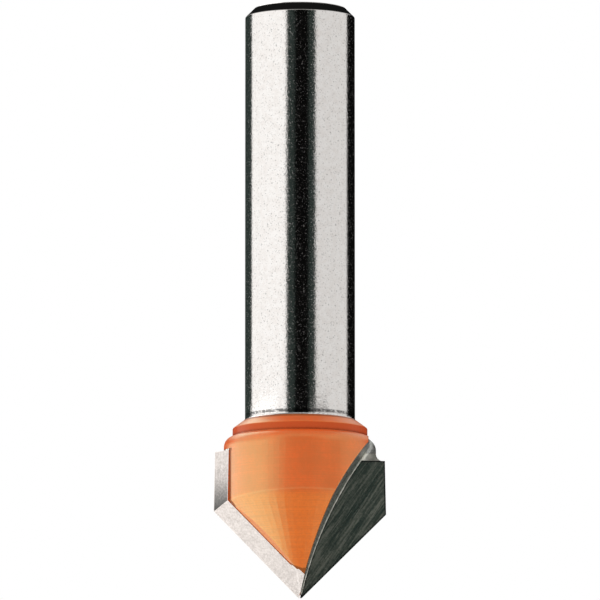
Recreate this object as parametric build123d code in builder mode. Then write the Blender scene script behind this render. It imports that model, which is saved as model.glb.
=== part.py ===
from build123d import *
import math
import os

# A two-flute router bit that cuts a vee groove: one steel body with a round shank, and two
# carbide tips brazed into pockets in its head. The shank points up and the point down.
# Both rake faces lie in the XZ plane. Tip 1 is on the +X side and its rake face looks to -Y.
# The origin is the middle of the shank's end face.

# Cutting edges
cutting_diameter = 19.0
vee_angle = 90.0
side_edge_taper = 1.2
point_flat_height = 0.18

# Carbide tips. Tip 1 was cut a little shorter along its side than tip 2
tip_thickness = 2.2
tip_side_lengths = (5.9, 6.5)
side_relief_angle = 28.0
vee_relief_angle = 35.0

# Pockets and braze
pocket_top_gap = 0.2
braze_gap = 0.1
top_bead_depth = 1.0
braze_start_height = 0.6

# Shank
shank_diameter = 12.0
shank_length = 45.4
shank_chamfer = 1.0
shank_edge_radius = 0.2
shank_root_radius = 0.3

# Collar and head. The corners of the tips stand out from the head's side by the standout
collar_diameter = 14.7
collar_bevel_height = 1.0
collar_land_height = 0.85
collar_edge_radius = 0.15
tip_standout = 1.08
shoulder_radius = 1.35
head_above_pocket = 1.65

# Nose: a cone for each half, leant away from the blade that it backs, so that it has relief
nose_half_angle = 38.1
nose_below_point = 0.57
nose_lean = 2.6
core_diameter = 5.2
core_height = 5.0

# Flats on the steel behind each tip
side_heel_step = 0.23
side_heel_angle = 18.1
vee_heel_step = 0.05
vee_heel_angle = 10.0

# Flutes. The insets are from the head's side to the wall, at the pocket's top and at its end
flute_wall_radius = 44.5
flute_past_axis = 0.1
flute_top_inset = 1.29
flute_exit_inset = 0.82
flute_lean = 9.5
flute_root_radius = 0.7
floor_recess = 0.15

# Cutting shapes reach this far past what they cut
clear = 3.0

# Heights above the sharp point of the vee
corner_height = cutting_diameter / 2 / math.tan(math.radians(vee_angle / 2))
pocket_side_length = max(tip_side_lengths) + pocket_top_gap
pocket_top = corner_height + pocket_side_length
head_top = pocket_top + head_above_pocket
collar_side_top = head_top + collar_land_height
shank_foot = collar_side_top + collar_bevel_height
overall_height = shank_foot + shank_length

# Radii
shank_radius = shank_diameter / 2
collar_radius = collar_diameter / 2
core_radius = core_diameter / 2
cutting_radius = cutting_diameter / 2
cutter_radius = cutting_radius + clear
head_radius = cutting_radius - tip_standout
flute_top_radius = head_radius - flute_top_inset
flute_exit_radius = head_radius - flute_exit_inset
side_edge_fall = math.tan(math.radians(side_edge_taper))
point_flat_radius = point_flat_height * math.tan(math.radians(vee_angle / 2))

pocket_depth = tip_thickness + braze_gap
sharp_point = Vector(0, 0, -overall_height)
rake_plane = Plane(origin=sharp_point, x_dir=(1, 0, 0), z_dir=(0, -1, 0))
pocket_top_plane = Plane(sharp_point).offset(pocket_top)
half_turns = (0, 180)


def flute_wall_centre():
    """Centre of the wall's arc, which runs from the point to the level of the pocket's top."""
    low = Vector(-flute_past_axis, 0)
    high = Vector(flute_top_radius, pocket_top)
    chord = high - low
    rise = math.sqrt(flute_wall_radius**2 - chord.length**2 / 4)
    return (low + high) * 0.5 + Vector(chord.Y, -chord.X).normalized() * rise


def wall_at(height, gap=0.0):
    """Distance from the axis to the flute wall, or to a line that far inside it."""
    centre = flute_wall_centre()
    return centre.X - math.sqrt((flute_wall_radius - gap) ** 2 - (height - centre.Y) ** 2)


def wall_arc(low, high, gap=0.0):
    """The wall's arc in the rake plane between two heights."""
    middle = (low + high) / 2
    return ThreePointArc(
        (wall_at(low, gap), low), (wall_at(middle, gap), middle), (wall_at(high, gap), high)
    )


def outside_wall(plane):
    """A face of all that lies outside the flute wall, which ends straight up to the collar."""
    centre = flute_wall_centre()
    arc_top = centre.Y + math.sqrt(flute_wall_radius**2 - (centre.X - flute_exit_radius) ** 2)
    with BuildSketch(plane, mode=Mode.PRIVATE) as region:
        with BuildLine():
            wall_arc(-clear, arc_top)
            Polyline(
                (flute_exit_radius, arc_top),
                (flute_exit_radius, head_top),
                (cutter_radius, head_top),
                (cutter_radius, -clear),
                (wall_at(-clear), -clear),
            )
        make_face()
    return region.sketch


def clearance_cutter(low, high, start, end, setback, angle, past_high):
    """A wedge that clears the back of a cutting edge, between two depths behind the rake plane.

    The edge runs from low to high, each a radius and a height. The cleared face starts at the
    setback inside the edge and falls away from there by the angle.
    """
    foot = sharp_point + Vector(low[0], 0, low[1])
    along = Vector(high[0] - low[0], 0, high[1] - low[1])
    outward = Vector(along.Z, 0, -along.X)
    edge_plane = Plane(origin=foot, x_dir=outward, z_dir=along)
    fall = (end - start) * math.tan(math.radians(angle))
    with BuildPart(mode=Mode.PRIVATE) as wedge:
        with BuildSketch(edge_plane.offset(-clear)):
            with BuildLine():
                Polyline(
                    (-setback, start),
                    (clear, start),
                    (clear, end),
                    (-setback - fall, end),
                    close=True,
                )
            make_face()
        extrude(amount=clear + along.length + past_high)
    return wedge.part


tip_corner = (cutting_radius, corner_height)
vee_edge = ((0, 0), tip_corner)
side_edge = (tip_corner, (cutting_radius - pocket_side_length * side_edge_fall, pocket_top))

vee_land_cutter = clearance_cutter(*vee_edge, 0, core_radius, 0, vee_relief_angle, clear)
side_land_cutter = clearance_cutter(*side_edge, 0, core_radius, 0, side_relief_angle, clear)

vee_heel_setback = tip_thickness * math.tan(math.radians(vee_relief_angle)) + vee_heel_step
side_heel_setback = tip_thickness * math.tan(math.radians(side_relief_angle)) + side_heel_step
vee_heel_cutter = clearance_cutter(
    *vee_edge, tip_thickness, cutter_radius, vee_heel_setback, vee_heel_angle, clear
)
side_heel_cutter = clearance_cutter(
    tip_corner,
    (cutting_radius, pocket_top),
    tip_thickness,
    cutter_radius,
    side_heel_setback,
    side_heel_angle,
    0,
)

# The core between the tips is ground to the same lands as they are
core_place = Location(sharp_point + Vector(0, 0, point_flat_height))
core_align = (Align.CENTER, Align.CENTER, Align.MIN)
with BuildPart() as core_land_cutter:
    add(vee_land_cutter)
    with Locations(core_place):
        Cylinder(core_radius, core_height, align=core_align, mode=Mode.INTERSECT)

# What the relief of the nose removes behind tip 1
nose_height = head_top
nose_spread = math.tan(math.radians(nose_half_angle))
nose_apex = sharp_point - Vector(0, 0, nose_below_point)
with BuildPart() as nose_cutter:
    with Locations(sharp_point - Vector(0, 0, clear)):
        Box(
            2 * cutter_radius,
            cutter_radius,
            nose_height,
            align=(Align.CENTER, Align.MIN, Align.MIN),
        )
    with Locations(Location(nose_apex, (nose_lean, 0, 0))):
        Cone(
            0,
            nose_spread * 2 * nose_height,
            2 * nose_height,
            align=(Align.CENTER, Align.CENTER, Align.MIN),
            mode=Mode.SUBTRACT,
        )

# The flute in front of tip 1, with a floor a little behind the rake face
lean = math.radians(flute_lean)
flute_direction = Vector(-math.sin(lean), -math.cos(lean), 0)
with BuildPart() as flute_cutter:
    extrude(
        outside_wall(rake_plane.offset(-floor_recess)), amount=2 * cutter_radius, dir=flute_direction
    )
    floor_edges = flute_cutter.faces().sort_by(Axis.Y)[-1].edges()
    straight_edge = floor_edges.sort_by(Axis.Z)[-2]
    fillet(floor_edges.filter_by(GeomType.CIRCLE) + [straight_edge], flute_root_radius)

# The pocket that tip 1 sits in, square to the rake face
with BuildPart() as pocket_cutter:
    extrude(
        outside_wall(rake_plane.offset(flute_root_radius)), amount=-flute_root_radius - pocket_depth
    )
    split(bisect_by=pocket_top_plane, keep=Keep.BOTTOM)

# The head and shank as they are before the pockets are milled
with BuildPart() as blank:
    with BuildSketch(rake_plane) as profile:
        with BuildLine():
            Polyline(
                (0, head_top),
                (0, point_flat_height),
                (head_radius, point_flat_height),
                (head_radius, head_top),
                close=True,
            )
        make_face()
        fillet(profile.vertices().sort_by_distance((head_radius, head_top))[0], shoulder_radius)
        with BuildLine():
            Polyline(
                (0, head_top - shoulder_radius),
                (collar_radius, head_top - shoulder_radius),
                (collar_radius, collar_side_top),
                (shank_radius, shank_foot),
                (shank_radius, overall_height - shank_chamfer),
                (shank_radius - shank_chamfer, overall_height),
                (0, overall_height),
                close=True,
            )
        make_face()
        for corner, radius in (
            ((shank_radius, shank_foot), shank_root_radius),
            ((collar_radius, collar_side_top), collar_edge_radius),
            ((shank_radius, overall_height - shank_chamfer), shank_edge_radius),
        ):
            fillet(profile.vertices().sort_by_distance(corner)[0], radius)
    revolve(axis=Axis.Z)
    for turn in half_turns:
        add(nose_cutter.part, rotation=(0, 0, turn), mode=Mode.SUBTRACT)
        add(vee_heel_cutter, rotation=(0, 0, turn), mode=Mode.SUBTRACT)
        add(side_heel_cutter, rotation=(0, 0, turn), mode=Mode.SUBTRACT)
    with Locations(core_place):
        Cylinder(core_radius, core_height, align=core_align)
    for turn in half_turns:
        add(core_land_cutter.part, rotation=(0, 0, turn), mode=Mode.SUBTRACT)
        add(flute_cutter.part, rotation=(0, 0, turn), mode=Mode.SUBTRACT)

with BuildPart() as body:
    add(blank.part)
    for turn in half_turns:
        add(pocket_cutter.part, rotation=(0, 0, turn), mode=Mode.SUBTRACT)

os.makedirs("parts", exist_ok=True)
body.part.label = "body"
export_step(body.part, "parts/body.step")

for number, turn, side_length in zip((1, 2), half_turns, tip_side_lengths):
    tip_top = corner_height + side_length

    # A plate with its cutting edges on the outside, ground back behind both of them
    with BuildPart() as tip:
        with BuildSketch(rake_plane):
            with BuildLine():
                wall_arc(point_flat_height, tip_top, braze_gap)
                Polyline(
                    (wall_at(tip_top, braze_gap), tip_top),
                    (cutting_radius - side_length * side_edge_fall, tip_top),
                    tip_corner,
                    (point_flat_radius, point_flat_height),
                    (wall_at(point_flat_height, braze_gap), point_flat_height),
                )
            make_face()
        extrude(amount=-tip_thickness)
        add(vee_land_cutter, mode=Mode.SUBTRACT)
        add(side_land_cutter, mode=Mode.SUBTRACT)

    # The braze fills the pocket round the tip and the root of the flute wall beside it, and a
    # hollow bead of it runs out from the head along the tip's top
    with BuildPart() as braze:
        add(pocket_cutter.part)
        add(blank.part, mode=Mode.INTERSECT)
        with BuildSketch(rake_plane.offset(-floor_recess)):
            with BuildLine():
                RadiusArc(
                    (head_radius + pocket_top - tip_top, tip_top),
                    (head_radius, pocket_top),
                    pocket_top - tip_top,
                )
                Polyline(
                    (head_radius, pocket_top),
                    (0, pocket_top),
                    (0, tip_top),
                    (head_radius + pocket_top - tip_top, tip_top),
                )
            make_face()
        extrude(amount=-top_bead_depth)
        add(body.part, mode=Mode.SUBTRACT)
        add(tip.part, mode=Mode.SUBTRACT)
        add(vee_land_cutter, mode=Mode.SUBTRACT)
        add(side_land_cutter, mode=Mode.SUBTRACT)
        split(bisect_by=Plane(sharp_point).offset(braze_start_height), keep=Keep.TOP)

    with BuildPart() as seated_tip:
        add(tip.part, rotation=(0, 0, turn))
    seated_tip.part.label = f"carbide_tip_{number}"
    export_step(seated_tip.part, f"parts/carbide_tip_{number}.step")
    with BuildPart() as seated_braze:
        add(braze.part, rotation=(0, 0, turn))
    seated_braze.part.label = f"braze_{number}"
    export_step(seated_braze.part, f"parts/braze_{number}.step")
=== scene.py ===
import math

import bmesh
import bpy
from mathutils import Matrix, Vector, noise
from mathutils.kdtree import KDTree


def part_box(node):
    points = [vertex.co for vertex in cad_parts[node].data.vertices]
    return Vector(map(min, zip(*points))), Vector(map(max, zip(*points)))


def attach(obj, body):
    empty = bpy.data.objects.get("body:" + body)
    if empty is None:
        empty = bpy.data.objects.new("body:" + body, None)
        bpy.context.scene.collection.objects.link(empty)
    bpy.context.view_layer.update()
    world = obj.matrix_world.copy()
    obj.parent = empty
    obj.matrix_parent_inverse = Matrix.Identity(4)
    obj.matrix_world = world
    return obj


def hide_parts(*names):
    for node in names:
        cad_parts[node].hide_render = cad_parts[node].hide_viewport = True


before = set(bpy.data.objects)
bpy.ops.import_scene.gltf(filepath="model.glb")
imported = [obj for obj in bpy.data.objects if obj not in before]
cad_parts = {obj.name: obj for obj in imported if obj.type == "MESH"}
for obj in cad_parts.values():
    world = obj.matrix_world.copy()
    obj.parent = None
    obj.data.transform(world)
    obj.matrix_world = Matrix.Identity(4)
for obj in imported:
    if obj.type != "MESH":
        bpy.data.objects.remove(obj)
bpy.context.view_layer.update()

# A two-flute router bit for vee grooves, seen a little from below with its point down.
# Everything is in metres in the part's own frame: the origin is the middle of the shank's end
# face, +Z points up the shank, and tip 1 is on the +X side with its rake face looking to -Y.

MM = 0.001

# The cutting edges, from the frame: a right-angled vee whose point is ground a little flat
tip_low, tip_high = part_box("carbide_tip_1")
cutting_radius = tip_high.x
point_flat = 0.18 * MM
sharp_point = tip_low.z - point_flat
corner_height = sharp_point + cutting_radius

# Heights that the finish of the body depends on
chamfer_foot = -1.0 * MM
shank_foot = -45.5 * MM
collar_low, collar_high = -47.3 * MM, -46.5 * MM
head_top = -47.25 * MM
pocket_top = -48.9 * MM
cone_top = -54.2 * MM

# The core and the flute walls lie within these distances from the axis
core_reach = 2.7 * MM
wall_reach = 8.35 * MM

# The nose of the head: one leant cone behind each tip
nose_below_point = 0.57 * MM
nose_apex_height = sharp_point - nose_below_point
nose_lean = math.radians(2.6)

# The relief of the vee's lands, and the depth from the rake face at which the seam lies
vee_relief = math.radians(35)
seam_depth = 2.1 * MM

# The flute walls run along this line, seen from above, and their roots reach this far from Y = 0
flute_lean = math.radians(9.5)
flute_root_reach = 0.48 * MM

# An edge that turns more than the first angle is sharp, and more than the second it carries coat
# wear, painted shade and painted highlights.
# A facet smaller than a sliver has no normal that can be trusted.
SHARP_TURN = math.radians(20)
EDGE_MARK_TURN = math.radians(46)
SLIVER = 0.0004 * MM**2

# Colours, in linear values
BRIGHT_STEEL = (0.68, 0.66, 0.64, 1)
WARM_STEEL = (0.635, 0.605, 0.58, 1)
PITTED_STEEL = (0.30, 0.30, 0.29, 1)
# Painted dark reflection: black on the shank's chamfer and in a broken ring above its foot
DARK_REFLECTION_BLACK = (0.007, 0.007, 0.007, 1)
MILLED_DARK = (0.24, 0.245, 0.23, 1)
MILLED_LIGHT = (0.46, 0.465, 0.44, 1)
ORANGE = (0.85, 0.088, 0.003, 1)
# Painted light: the cone's orange is lighter and yellower, as if lit from the floor
CONE_FLOOR_LIT_ORANGE = (0.90, 0.142, 0.003, 1)
# The pale of worn edges, and of the painted highlight along the head's soft edges
PALE_ORANGE = (0.88, 0.40, 0.15, 1)
DEEP_ORANGE = (0.62, 0.080, 0.008, 1)
# Painted shade on the collar: its side lies in the shade of the head's shoulder, deepest at its foot
COLLAR_SHADE_RED = (0.53, 0.075, 0.019, 1)
COLLAR_SHADE = (0.26, 0.036, 0.010, 1)
# Painted shade: the coat's brown in seams, in creases and along the cone's sharp edges
COAT_SHADE_BROWN = (0.25, 0.075, 0.020, 1)
COAT_SHEEN = (0.14, 1.0, 0.48, 1)
DARK_CARBIDE = (0.070, 0.100, 0.083, 1)
STREAK_CARBIDE = (0.34, 0.36, 0.30, 1)
# Painted shade: a dark outline along the rake faces' edges
CARBIDE_EDGE_SHADE = (0.02, 0.022, 0.02, 1)
GROUND_CARBIDE = (0.375, 0.345, 0.325, 1)
GRAINY_CARBIDE = (0.285, 0.26, 0.243, 1)
# Painted highlight along the edges of ground faces
GROUND_EDGE_HIGHLIGHT = (0.40, 0.37, 0.35, 1)
# Painted shade towards the vee's corner on the side lands, also the colour of their dark grinding
# streaks
CARBIDE_STREAK_AND_SHADE = (0.035, 0.035, 0.033, 1)
SOLDER = (0.72, 0.71, 0.64, 1)
DULL_SOLDER = (0.50, 0.50, 0.44, 1)


class Nodes:
    """A material's node tree, with short calls for the few kinds of node that are used here."""

    def __init__(self, name):
        self.material = bpy.data.materials.new(name)
        self.material.use_nodes = True
        self.tree = self.material.node_tree
        self.shader = self.tree.nodes["Principled BSDF"]

    def add(self, kind, inputs=(), **settings):
        """A new node with these settings. inputs is pairs of socket and value or output."""
        node = self.tree.nodes.new(kind)
        for key, value in settings.items():
            setattr(node, key, value)
        for socket, value in inputs:
            self.put(node.inputs[socket], value)
        return node

    def put(self, socket, value):
        if isinstance(value, bpy.types.NodeSocket):
            self.tree.links.new(value, socket)
        else:
            socket.default_value = value

    def set(self, **values):
        """Values or links for the shader's own sockets, with _ for each space in a name."""
        for name, value in values.items():
            self.put(self.shader.inputs[name.replace("_", " ")], value)

    def place_mm(self, stretch=(1, 1, 1)):
        """The point's own coordinates in millimetres, stretched on each axis."""
        place = self.add("ShaderNodeTexCoord").outputs["Object"]
        scale = [s / MM for s in stretch]
        return self.add("ShaderNodeMapping", [("Vector", place), ("Scale", scale)]).outputs[0]

    def own(self, axis):
        """The point's own X, Y or Z in metres."""
        place = self.add("ShaderNodeTexCoord").outputs["Object"]
        return self.add("ShaderNodeSeparateXYZ", [("Vector", place)]).outputs[axis]

    def height(self):
        """The point's height in metres."""
        return self.own("Z")

    def depth(self):
        """The point's distance in metres from the plane of the rake faces."""
        return self.maths("ABSOLUTE", self.own("Y"))

    def noise(self, place, scale, detail=2.0, roughness=0.5):
        inputs = [("Vector", place), ("Scale", scale), ("Detail", detail), ("Roughness", roughness)]
        return self.add("ShaderNodeTexNoise", inputs).outputs["Fac"]

    def maths(self, operation, *values):
        return self.add("ShaderNodeMath", list(enumerate(values)), operation=operation).outputs[0]

    def steps(self, value, low, high, to_low=0.0, to_high=1.0):
        """value from low to high becomes to_low to to_high, held beyond both."""
        inputs = [(0, value), (1, low), (2, high), (3, to_low), (4, to_high)]
        return self.add("ShaderNodeMapRange", inputs, interpolation_type="SMOOTHSTEP").outputs[0]

    def band(self, value, low, high, blur):
        """1 between low and high and 0 outside them."""
        above = self.steps(value, low - blur, low + blur)
        below = self.steps(value, high - blur, high + blur, 1.0, 0.0)
        return self.maths("MULTIPLY", above, below)

    def mix(self, factor, first, second):
        inputs = [("Factor", factor), ("A", first), ("B", second)]
        node = self.tree.nodes.new("ShaderNodeMix")
        node.data_type = "RGBA"
        for socket, value in inputs:
            wanted = [s for s in node.inputs if s.name == socket and s.enabled][0]
            self.put(wanted, value)
        return [s for s in node.outputs if s.enabled][0]

    def bump(self, height, distance_mm, normal=None):
        """A normal that is tipped by height, on top of another bump's normal if one is given."""
        inputs = [("Height", height), ("Distance", distance_mm * MM), ("Strength", 1.0)]
        if normal is not None:
            inputs.append(("Normal", normal))
        return self.add("ShaderNodeBump", inputs).outputs[0]

    def attribute(self, name):
        """A value that the mesh holds at each vertex."""
        return self.add("ShaderNodeAttribute", attribute_name=name).outputs["Fac"]


def polished_steel():
    """The ground shank: nearly a mirror, with fine grain, specks and dull pits, and a dark
    reflection painted black on its chamfer and in a broken ring above its foot.
    """
    n = Nodes("polished_steel")
    place = n.place_mm()
    height = n.height()
    grain = n.noise(place, 4.5, 3.0, 0.6)
    specks = n.steps(n.noise(place, 6.0, 2.0), 0.57, 0.76)
    pits = n.steps(n.noise(place, 5.0, 2.0, 0.7), 0.50, 0.68)
    cloud = n.steps(n.noise(place, 1.6, 4.0, 0.7), 0.35, 0.65)
    # The chamfer and a broken ring above the shank's foot are painted black, as a painted dark
    # reflection
    chamfer = n.band(height, chamfer_foot, -0.05 * MM, 0.05 * MM)
    arc = n.band(height, shank_foot + 0.3 * MM, shank_foot + 0.65 * MM, 0.1 * MM)
    ragged = n.steps(n.noise(place, 3.0, 3.0), 0.3, 0.6, 0.2, 0.8)
    black = n.maths("MAXIMUM", chamfer, n.maths("MULTIPLY", arc, ragged))
    steel = n.mix(specks, n.mix(cloud, BRIGHT_STEEL, WARM_STEEL), PITTED_STEEL)
    smooth = n.steps(grain, 0.3, 0.7, 0.05, 0.14)
    n.set(
        Base_Color=n.mix(black, steel, DARK_REFLECTION_BLACK),
        Metallic=n.maths("SUBTRACT", 1.0, chamfer),
        Roughness=n.maths("MAXIMUM", smooth, n.maths("MULTIPLY", pits, 0.28)),
        Specular_IOR_Level=0.0,
        Normal=n.bump(grain, 0.010),
    )
    return n.material


def head_coat():
    """The satin orange coat: turned rings and worn edges, a painted highlight along the soft edges
    where the cylinder meets the cone, painted floor light on the cone, and painted shade on the
    collar and in brown lines at seams and creases.
    """
    n = Nodes("head_coat")
    place = n.place_mm()
    height = n.height()
    rings = n.noise(n.place_mm((0.1, 0.1, 11)), 1.0, 2.0)
    grain = n.noise(place, 7.0, 3.0, 0.6)
    cloud = n.steps(n.noise(place, 0.4, 3.0), 0.3, 0.7, 0.0, 0.5)
    near_edge = n.steps(n.attribute("edge_mm"), 0.02, 0.13, 1.0, 0.0)
    on_cone = n.steps(height, cone_top - 0.4 * MM, cone_top + 0.4 * MM, 1.0, 0.0)
    by_seam = n.band(n.depth(), seam_depth, seam_depth + 0.6 * MM, 0.05 * MM)
    uneven = n.steps(n.noise(place, 4.0, 3.0), 0.4, 0.75, 0.0, 0.7)
    # A painted highlight: a faint pale line along the soft edges low on the head, where the cylinder
    # meets the cone
    ridge_highlight = n.steps(n.attribute("ridge_highlight_mm"), 0.0, 0.2, 0.16, 0.0)
    on_collar = n.band(height, collar_low + 0.03 * MM, collar_high + 0.05 * MM, 0.04 * MM)
    low = n.steps(height, pocket_top - 0.05 * MM, pocket_top + 0.05 * MM, 1.0, 0.0)
    beside = n.maths("MULTIPLY", n.steps(n.attribute("edge_mm"), 0.25, 0.40, 0.9, 0.0), low)
    # Painted shade in brown lines: in the crease at the shank's foot, along the cone's sharp edges
    # and beside the seams behind the tips
    foot = n.steps(height, shank_foot - 0.26 * MM, shank_foot - 0.18 * MM, 0.0, 0.8)
    lines = n.maths("MAXIMUM", n.maths("MULTIPLY", on_cone, near_edge), foot)
    coat_shade = n.maths("MAXIMUM", n.maths("MULTIPLY", by_seam, beside), lines)
    worn = n.maths("MULTIPLY", n.maths("MULTIPLY", near_edge, uneven), low)
    # The cone is painted lighter and yellower, as painted light from the floor
    paint_and_floor_light = n.mix(on_cone, n.mix(cloud, ORANGE, DEEP_ORANGE), CONE_FLOOR_LIT_ORANGE)
    specks = n.noise(place, 3.2, 3.0, 0.7)
    tone = n.maths("ADD", n.maths("MULTIPLY", rings, 0.5), n.maths("MULTIPLY", specks, 0.5))
    turned = n.mix(n.steps(tone, 0.38, 0.62, 0.0, 0.42), paint_and_floor_light, DEEP_ORANGE)
    ragged = n.maths("ADD", height, n.maths("MULTIPLY", specks, 0.25 * MM))
    # Painted shade on the collar, darkest along its foot beside the head's shoulder
    shade = n.steps(ragged, collar_low + 0.1 * MM, collar_low + 0.5 * MM, 0.95, 0.0)
    collar = n.mix(shade, COLLAR_SHADE_RED, COLLAR_SHADE)
    coat = n.mix(ridge_highlight, n.mix(on_collar, turned, collar), PALE_ORANGE)
    n.set(
        Base_Color=n.mix(coat_shade, n.mix(worn, coat, PALE_ORANGE), COAT_SHADE_BROWN),
        Roughness=n.steps(grain, 0.3, 0.7, 0.28, 0.40),
        IOR=2.0,
        Specular_IOR_Level=n.steps(n.maths("MAXIMUM", on_collar, coat_shade), 0.0, 1.0, 0.57, 0.05),
        Specular_Tint=COAT_SHEEN,
        Normal=n.bump(rings, 0.004, n.bump(grain, 0.004)),
    )
    return n.material


def milled_steel():
    """Bare steel of the flutes, duller than the shank, with the cutter's marks."""
    n = Nodes("milled_steel")
    marks = n.noise(n.place_mm((8, 0.4, 8)), 1.0, 3.0)
    n.set(
        Base_Color=n.mix(n.steps(marks, 0.3, 0.7), MILLED_DARK, MILLED_LIGHT),
        Metallic=1.0,
        Roughness=n.steps(marks, 0.3, 0.7, 0.25, 0.38),
        Normal=n.bump(marks, 0.006),
    )
    return n.material


def rake_carbide():
    """The rake faces: dark, with soft streaks of the grinding wheel that rise outwards, and painted
    shade as a dark outline along their edges.
    """
    n = Nodes("rake_carbide")
    outwards = n.maths("ABSOLUTE", n.own("X"))
    place = n.add("ShaderNodeCombineXYZ", [("X", outwards), ("Z", n.height())]).outputs[0]
    turn = (0, math.radians(-35), 0)
    turned = n.add("ShaderNodeMapping", [("Vector", place), ("Rotation", turn)]).outputs[0]
    stretch = (1.3 / MM, 1 / MM, 0.09 / MM)
    along = n.add("ShaderNodeMapping", [("Vector", turned), ("Scale", stretch)]).outputs[0]
    streaks = n.noise(along, 1.0, 5.0, 0.55)
    fine = n.noise(along, 4.0, 3.0, 0.6)
    grain = n.noise(n.place_mm(), 3.5, 4.0, 0.7)
    marks = n.maths("MULTIPLY", n.maths("ADD", streaks, fine), 0.36)
    spots = n.maths("ADD", marks, n.maths("MULTIPLY", grain, 0.28))
    face = n.mix(n.steps(spots, 0.42, 0.66), DARK_CARBIDE, STREAK_CARBIDE)
    n.set(
        Base_Color=n.mix(n.steps(n.attribute("edge_mm"), 0.08, 0.2, 1.0, 0.0), face, CARBIDE_EDGE_SHADE),
        Metallic=1.0,
        Roughness=n.steps(streaks, 0.3, 0.7, 0.26, 0.38),
        Normal=n.bump(streaks, 0.004, n.bump(grain, 0.003)),
    )
    return n.material


def ground_surface(name, fades=False):
    """A face relieved by the diamond wheel: pale and grainy, with a painted highlight along its
    edges.

    Where it fades, painted shade darkens it from the tip's top to the corner of the vee, and dark
    streaks of the grinding cross it.
    """
    n = Nodes(name)
    grain = n.noise(n.place_mm(), 4.5, 3.0, 0.65)
    cloud = n.noise(n.place_mm(), 1.0, 2.0)
    face = n.mix(n.steps(grain, 0.36, 0.64), GRAINY_CARBIDE, GROUND_CARBIDE)
    if fades:
        height = n.height()
        uneven = n.maths("ADD", height, n.maths("MULTIPLY", grain, 1.5 * MM))
        # Painted shade: the side land darkens from the tip's top down to the vee's corner
        dim = n.steps(uneven, corner_height + 0.4 * MM, corner_height + 6.4 * MM, 1.0, 0.0)
        streaks = n.steps(n.noise(n.place_mm((5, 5, 0.5)), 1.0, 3.0), 0.5, 0.75, 0.0, 0.45)
        face = n.mix(n.maths("MAXIMUM", dim, streaks), face, CARBIDE_STREAK_AND_SHADE)
    near_edge = n.steps(n.attribute("edge_mm"), 0.03, 0.11, 0.8, 0.0)
    n.set(
        Base_Color=n.mix(near_edge, face, GROUND_EDGE_HIGHLIGHT),
        Metallic=1.0,
        Roughness=n.steps(cloud, 0.3, 0.7, 0.3, 0.4),
        Normal=n.bump(grain, 0.004),
    )
    return n.material


def silver_solder():
    """The braze: dull silver with a slow unevenness, and coated behind the tips in a brown that is
    painted shade.
    """
    n = Nodes("silver_solder")
    cloud = n.noise(n.place_mm(), 2.5, 3.0)
    grain = n.noise(n.place_mm(), 9.0, 2.0)
    coated = n.steps(n.depth(), seam_depth, seam_depth + 0.05 * MM)
    solder = n.mix(n.steps(cloud, 0.3, 0.7), DULL_SOLDER, SOLDER)
    n.set(
        Base_Color=n.mix(coated, solder, COAT_SHADE_BROWN),
        Metallic=n.maths("SUBTRACT", 1.0, coated),
        Specular_IOR_Level=0.1,
        Roughness=n.steps(cloud, 0.3, 0.7, 0.28, 0.42),
        Normal=n.bump(cloud, 0.03, n.bump(grain, 0.004)),
    )
    return n.material


def shaded_seam_coat():
    """The coat on the backs of the tips, where they stand out from the seam, darkened to brown as
    painted shade.
    """
    n = Nodes("shaded_seam_coat")
    grain = n.noise(n.place_mm(), 5.0, 3.0)
    n.set(
        Base_Color=n.mix(n.steps(grain, 0.3, 0.7), COAT_SHADE_BROWN, DEEP_ORANGE),
        Roughness=0.5,
        Specular_IOR_Level=0.1,
        Normal=n.bump(grain, 0.004),
    )
    return n.material


def welded(node):
    """A bmesh of a CAD node with the corners of its triangles joined."""
    bm = bmesh.new()
    bm.from_mesh(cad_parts[node].data)
    bmesh.ops.remove_doubles(bm, verts=bm.verts, dist=0.0005 * MM)
    bmesh.ops.dissolve_degenerate(bm, edges=bm.edges, dist=0.0002 * MM)
    bmesh.ops.triangulate(bm, faces=bm.faces)
    bm.normal_update()
    return bm


def split_long_edges(bm, longest, wanted):
    """Halves the edges over the longest length, where wanted(edge) says so, until none is left."""
    for _ in range(9):
        long_edges = [e for e in bm.edges if e.calc_length() > longest and wanted(e)]
        if not long_edges:
            break
        bmesh.ops.subdivide_edges(bm, edges=long_edges, cuts=1)
        bmesh.ops.triangulate(bm, faces=bm.faces)


def edge_distances(bm, least=EDGE_MARK_TURN, most=math.pi, highest=1.0):
    """Distance in millimetres from each vertex to the nearest edge that turns by such an angle."""
    samples = []
    for edge in bm.edges:
        if not edge.is_manifold or min(f.calc_area() for f in edge.link_faces) < SLIVER:
            continue
        a, b = (v.co for v in edge.verts)
        if least < edge.calc_face_angle() < most and max(a.z, b.z) < highest:
            steps = max(1, math.ceil((b - a).length / (0.1 * MM)))
            samples.extend(a.lerp(b, i / steps) for i in range(steps + 1))
    tree = KDTree(len(samples))
    for index, sample in enumerate(samples):
        tree.insert(sample, index)
    tree.balance()
    return [tree.find(v.co)[2] / MM for v in bm.verts]


class Axis:
    """The axis of a turned surface, which gives the true normals of its facets."""

    def __init__(self, origin, direction):
        self.origin = origin
        self.up = direction.normalized()

    def outward(self, point):
        arm = point - self.origin
        arm -= self.up * arm.dot(self.up)
        return arm.normalized() if arm.length > 1e-9 else Vector((0, 0, 0))

    def fits(self, centre, normal):
        """True if a facet there with that normal can belong to a surface turned on this axis."""
        side = self.up.cross(self.outward(centre))
        return abs(side.dot(normal)) < math.sin(math.radians(1.2))


turning_axis = Axis(Vector((0, 0, 0)), Vector((0, 0, 1)))
nose_axes = [
    Axis(
        Vector((0, 0, nose_apex_height)),
        Vector((0, -side * math.sin(nose_lean), math.cos(nose_lean))),
    )
    for side in (1, -1)
]


def flute_side(point):
    """1 in front of tip 1 and -1 in front of tip 2, for a point on a flute's wall."""
    return 1 if point.x > 0 else -1


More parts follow.
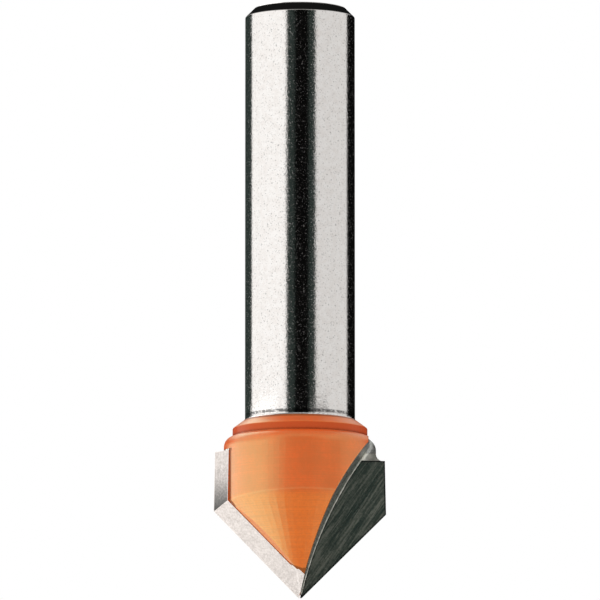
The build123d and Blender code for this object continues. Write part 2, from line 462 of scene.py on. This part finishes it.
def smooth_body_normals(bm, kinds, flat):
    """A normal for each corner: true on turned faces, averaged on walls, flat elsewhere."""
    areas = {f: f.calc_area() for f in bm.faces}
    normals = []
    for face in bm.faces:
        axis = kinds[face.index]
        for corner in face.loops:
            vertex = corner.vert
            if axis is None:
                normals.append(flat[face.index])
                continue
            near = [
                f for f in vertex.link_faces
                if kinds[f.index] is axis and flat[f.index].angle(flat[face.index], 0) < SHARP_TURN
            ]
            if axis == "wall":
                total = sum((flat[f.index] * areas[f] for f in near), Vector((0, 0, 0)))
                normals.append(total.normalized())
                continue
            radial = 0.0
            along = 0.0
            for f in near:
                n = flat[f.index]
                along += n.dot(axis.up) * areas[f]
                radial += n.dot(axis.outward(f.calc_center_median())) * areas[f]
            normals.append((axis.outward(vertex.co) * radial + axis.up * along).normalized())
    return normals


def finish_mesh(bm, name, materials, normals=None, values=None):
    """A new object from bm, smooth but for its sharp turns, or with these corner normals."""
    mesh = bpy.data.meshes.new(name)
    bm.to_mesh(mesh)
    bm.free()
    for material in materials:
        mesh.materials.append(material)
    mesh.shade_smooth()
    if normals is None:
        mesh.set_sharp_from_angle(angle=SHARP_TURN)
    else:
        mesh.normals_split_custom_set(normals)
    for key, numbers in (values or {}).items():
        mesh.attributes.new(key, "FLOAT", "POINT").data.foreach_set("value", numbers)
    piece = bpy.data.objects.new(name, mesh)
    bpy.context.scene.collection.objects.link(piece)
    return piece


BARE, COATED, MILLED, GROUND_STEEL = range(4)


def on_vee_land(face):
    """True if a facet looks the way that the land behind either tip's vee edge does."""
    across = math.cos(vee_relief) * math.sqrt(0.5)
    depth = math.sin(vee_relief)
    ways = [Vector((side * across, side * depth, -across)) for side in (1, -1)]
    return max(face.normal.dot(way) for way in ways) > 0.9995


def body_finish(face):
    """Which finish a facet of the body has, from where it lies and where it looks.

    A flute's wall runs along the flute's line and looks level or down. Its floor and its root
    lie close to the plane of the rake faces and look out of the flute.
    """
    centre = face.calc_center_median()
    if centre.z > shank_foot:
        return BARE
    side = flute_side(centre)
    flute_line = Vector((-side * math.sin(flute_lean), -side * math.cos(flute_lean), 0))
    radius = math.hypot(centre.x, centre.y)
    along_flute = abs(face.normal.dot(flute_line)) < 0.03 and -0.9 < face.normal.z < 0.02
    on_wall = along_flute and centre.z < head_top and radius < wall_reach
    looks_out = side * face.normal.y < -0.05
    on_floor_or_root = looks_out and abs(centre.y) < flute_root_reach
    if on_wall or on_floor_or_root:
        return MILLED
    if radius < core_reach and on_vee_land(face):
        return GROUND_STEEL
    return COATED


def turned_about(face, normal):
    """The axis that a facet of the body is turned about, "wall", or None for a flat one."""
    centre = face.calc_center_median()
    nose = nose_axes[0] if centre.y > 0 else nose_axes[1]
    if face.material_index == MILLED:
        return "wall" if abs(normal.y) < 0.999 else None
    if face.material_index == GROUND_STEEL or abs(normal.z) > 0.999:
        return None
    if turning_axis.fits(centre, normal):
        return turning_axis
    return nose if nose.fits(centre, normal) else None


def body_piece():
    """The steel body: its CAD form with true normals, and a finish for each kind of face."""
    bm = welded("body")
    for face in bm.faces:
        face.material_index = body_finish(face)
    split_long_edges(bm, 0.35 * MM, lambda e: max(v.co.z for v in e.verts) < shank_foot + 0.1 * MM)
    bm.normal_update()
    bm.faces.index_update()
    flat = [f.normal.copy() for f in bm.faces]
    kinds = [turned_about(f, flat[f.index]) for f in bm.faces]
    normals = smooth_body_normals(bm, kinds, flat)
    materials = (polished_steel(), head_coat(), milled_steel(), ground_surface("ground_steel"))
    # Soft edges low on the head, for the painted highlight along them
    ridge_highlight = edge_distances(bm, math.radians(30), EDGE_MARK_TURN, cone_top + 2 * MM)
    values = {"edge_mm": edge_distances(bm), "ridge_highlight_mm": ridge_highlight}
    return finish_mesh(bm, "steel_body", materials, normals, values)


RAKE, GROUND, SIDE_GROUND, BACK = range(4)


def tip_piece(number, materials):
    """A carbide tip: its CAD form, with its rake face, ground faces and side land apart."""
    bm = welded(f"carbide_tip_{number}")
    side = 1 if number == 1 else -1
    for face in bm.faces:
        normal = face.normal * side
        face.material_index = GROUND
        if normal.y < -0.99:
            face.material_index = RAKE
        elif normal.y > 0.99:
            face.material_index = BACK
        elif normal.x > 0.5 and abs(face.normal.z) < 0.2:
            face.material_index = SIDE_GROUND
    split_long_edges(bm, 0.25 * MM, lambda e: True)
    return finish_mesh(bm, f"ground_tip_{number}", materials, values={"edge_mm": edge_distances(bm)})


def braze_piece(number, materials):
    """The braze of one tip, sunk a little and unevenly into its seam, but ground with the lands."""
    bm = welded(f"braze_{number}")
    split_long_edges(bm, 0.2 * MM, lambda e: True)
    bm.normal_update()
    for face in bm.faces:
        centre = face.calc_center_median()
        near_core = math.hypot(centre.x, centre.y) < core_reach
        face.material_index = 1 if near_core and on_vee_land(face) else 0
    for vertex in bm.verts:
        if abs(vertex.co.y) < seam_depth and not any(f.material_index for f in vertex.link_faces):
            wave = noise.noise(vertex.co * 1.6 / MM)
            vertex.co -= vertex.normal * (0.5 + 0.5 * wave) * 0.03 * MM
    return finish_mesh(bm, f"solder_{number}", materials)


def build_bit():
    """Every CAD node dressed as a piece of its own."""
    dressed = [(body_piece(), "body", "steel_body")]
    ground, side_ground = ground_surface("ground_carbide"), ground_surface("side_land", True)
    tip_materials = (rake_carbide(), ground, side_ground, shaded_seam_coat())
    braze_materials = (silver_solder(), ground)
    for number in (1, 2):
        dressed.append((tip_piece(number, tip_materials), f"carbide_tip_{number}", "carbide"))
        dressed.append((braze_piece(number, braze_materials), f"braze_{number}", "silver_braze"))
    for piece, node, slot in dressed:
        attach(piece, "root")
        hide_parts(node)


# The view of the photo: from a little below, and turned towards tip 2
camera_azimuth = math.radians(-9)
camera_elevation = math.radians(-8)
camera_distance = 1.26
camera_lens = 692.5
aim = Vector((0, 0, -32.17 * MM))

# The studio: the floor's height, and the point that the nearest cards face
floor_height = -0.27
near_middle = Vector((0, 0, -76 * MM))


def direction(azimuth, elevation):
    """A unit vector from the part. Azimuth 0 is -Y, and it grows towards +X."""
    flat = math.cos(elevation)
    return Vector((math.sin(azimuth) * flat, -math.cos(azimuth) * flat, math.sin(elevation)))


def make_camera():
    data = bpy.data.cameras.new("camera")
    data.lens = camera_lens
    data.sensor_width = 36
    data.clip_start = 0.01
    data.clip_end = 50
    camera = bpy.data.objects.new("camera", data)
    towards = direction(camera_azimuth, camera_elevation)
    camera.location = aim + towards * camera_distance
    camera.rotation_euler = (-towards).to_track_quat("-Z", "Y").to_euler()
    bpy.context.scene.collection.objects.link(camera)
    bpy.context.scene.camera = camera


def facing(obj, azimuth, elevation, distance, target=aim):
    """Puts obj in that direction from the target and turns it to face the target.

    The angles are in degrees, and azimuth 0 is the camera's.
    """
    away = direction(camera_azimuth + math.radians(azimuth), math.radians(elevation))
    obj.location = target + away * distance
    obj.rotation_euler = (-away).to_track_quat("-Z", "Y").to_euler()


def softbox(name, azimuth, elevation, distance, width, height, brightness):
    """A white area lamp whose face shows that brightness."""
    data = bpy.data.lights.new(name, "AREA")
    data.shape = "RECTANGLE"
    data.size = width
    data.size_y = height
    data.energy = brightness * width * height * math.pi
    lamp = bpy.data.objects.new(name, data)
    facing(lamp, azimuth, elevation, distance)
    lamp.visible_camera = False
    bpy.context.scene.collection.objects.link(lamp)


def card(name, azimuth, elevation, distance, width, height, material, target=aim):
    """A card that only reflections see."""
    bm = bmesh.new()
    quarters = ((-1, -1), (1, -1), (1, 1), (-1, 1))
    bm.faces.new([bm.verts.new((x * width / 2, y * height / 2, 0)) for x, y in quarters])
    mesh = bpy.data.meshes.new(name)
    bm.to_mesh(mesh)
    bm.free()
    mesh.materials.append(material)
    sheet = bpy.data.objects.new(name, mesh)
    facing(sheet, azimuth, elevation, distance, target)
    sheet.visible_camera = False
    sheet.visible_diffuse = False
    sheet.visible_shadow = False
    bpy.context.scene.collection.objects.link(sheet)


def card_material(name, colour, glow=0.0):
    """A matt card of that colour, which shines if it has a glow."""
    n = Nodes(name)
    n.set(
        Base_Color=(*colour, 1),
        Roughness=1.0,
        Specular_IOR_Level=0.0,
        Emission_Color=(1, 1, 1, 1),
        Emission_Strength=glow,
    )
    return n.material


def seen_directly(tree):
    """1 for camera, glossy and transmission rays, and 0 for the others."""
    path = tree.nodes.new("ShaderNodeLightPath")
    total = path.outputs["Is Camera Ray"]
    for name in ("Is Glossy Ray", "Is Transmission Ray"):
        joined = tree.nodes.new("ShaderNodeMath")
        joined.operation = "MAXIMUM"
        tree.links.new(total, joined.inputs[0])
        tree.links.new(path.outputs[name], joined.inputs[1])
        total = joined.outputs[0]
    return total


def make_world():
    """A plain white world at strength 1, which is the backdrop and the soft fill."""
    world = bpy.data.worlds.new("studio")
    world.use_nodes = True
    background = world.node_tree.nodes["Background"]
    background.inputs["Color"].default_value = (1, 1, 1, 1)
    background.inputs["Strength"].default_value = 1.0
    bpy.context.scene.world = world


def make_floor():
    """A pale floor, a little brighter where it is seen or mirrored."""
    n = Nodes("pale_floor")
    cloud = n.noise(n.place_mm((0.01, 0.01, 0.01)), 1.0)
    n.set(
        Base_Color=n.mix(cloud, (0.84, 0.84, 0.83, 1), (0.88, 0.88, 0.87, 1)),
        Roughness=0.9,
        Emission_Color=(1, 1, 1, 1),
        Emission_Strength=n.maths("MULTIPLY", seen_directly(n.tree), 0.10),
    )
    bpy.ops.mesh.primitive_plane_add(size=8, location=(0, 0, floor_height))
    floor = bpy.context.object
    floor.name = "floor"
    floor.data.materials.append(n.material)


def make_studio():
    """World, floor, one softbox, and the cards that the polished and coated faces mirror.

    The small near cards lie so close that in the photo's view the head mirrors them and the
    shank doesn't.
    """
    make_world()
    make_floor()
    softbox("left_softbox", -75, 8, 0.6, 1.26, 0.9, 0.42)
    black = card_material("black_card", (0.004, 0.004, 0.004))
    dim = card_material("dim_card", (0.036, 0.050, 0.046))
    grey = card_material("grey_card", (0.32, 0.32, 0.32))
    bright = card_material("bright_card", (0.8, 0.8, 0.8), 2.0)
    card("front_card", 1, 10, 1.5, 1.6, 2.0, black)
    card("front_left_card", -20, 10, 1.3, 0.40, 1.8, dim)
    card("front_right_card", 25.5, 10, 1.3, 0.33, 1.8, dim)
    card("back_left_card", -151, 4, 0.8, 0.89, 0.6, dim)
    card("back_right_card", 148.5, 4, 0.8, 0.98, 0.6, black)
    card("top_card", 0, 90, 0.8, 0.92, 0.92, grey)
    card("under_card", 0, -68, 0.2, 0.13, 0.28, black)
    card("near_card", -84, 0, 0.035, 0.059, 0.07, bright, near_middle)
    card("near_grey_card", 38, 0, 0.035, 0.024, 0.07, grey, near_middle)
    card("high_card", -155, 48, 0.7, 0.5, 0.45, bright)


build_bit()
make_camera()
make_studio()
bpy.context.scene.view_settings.view_transform = "Standard"
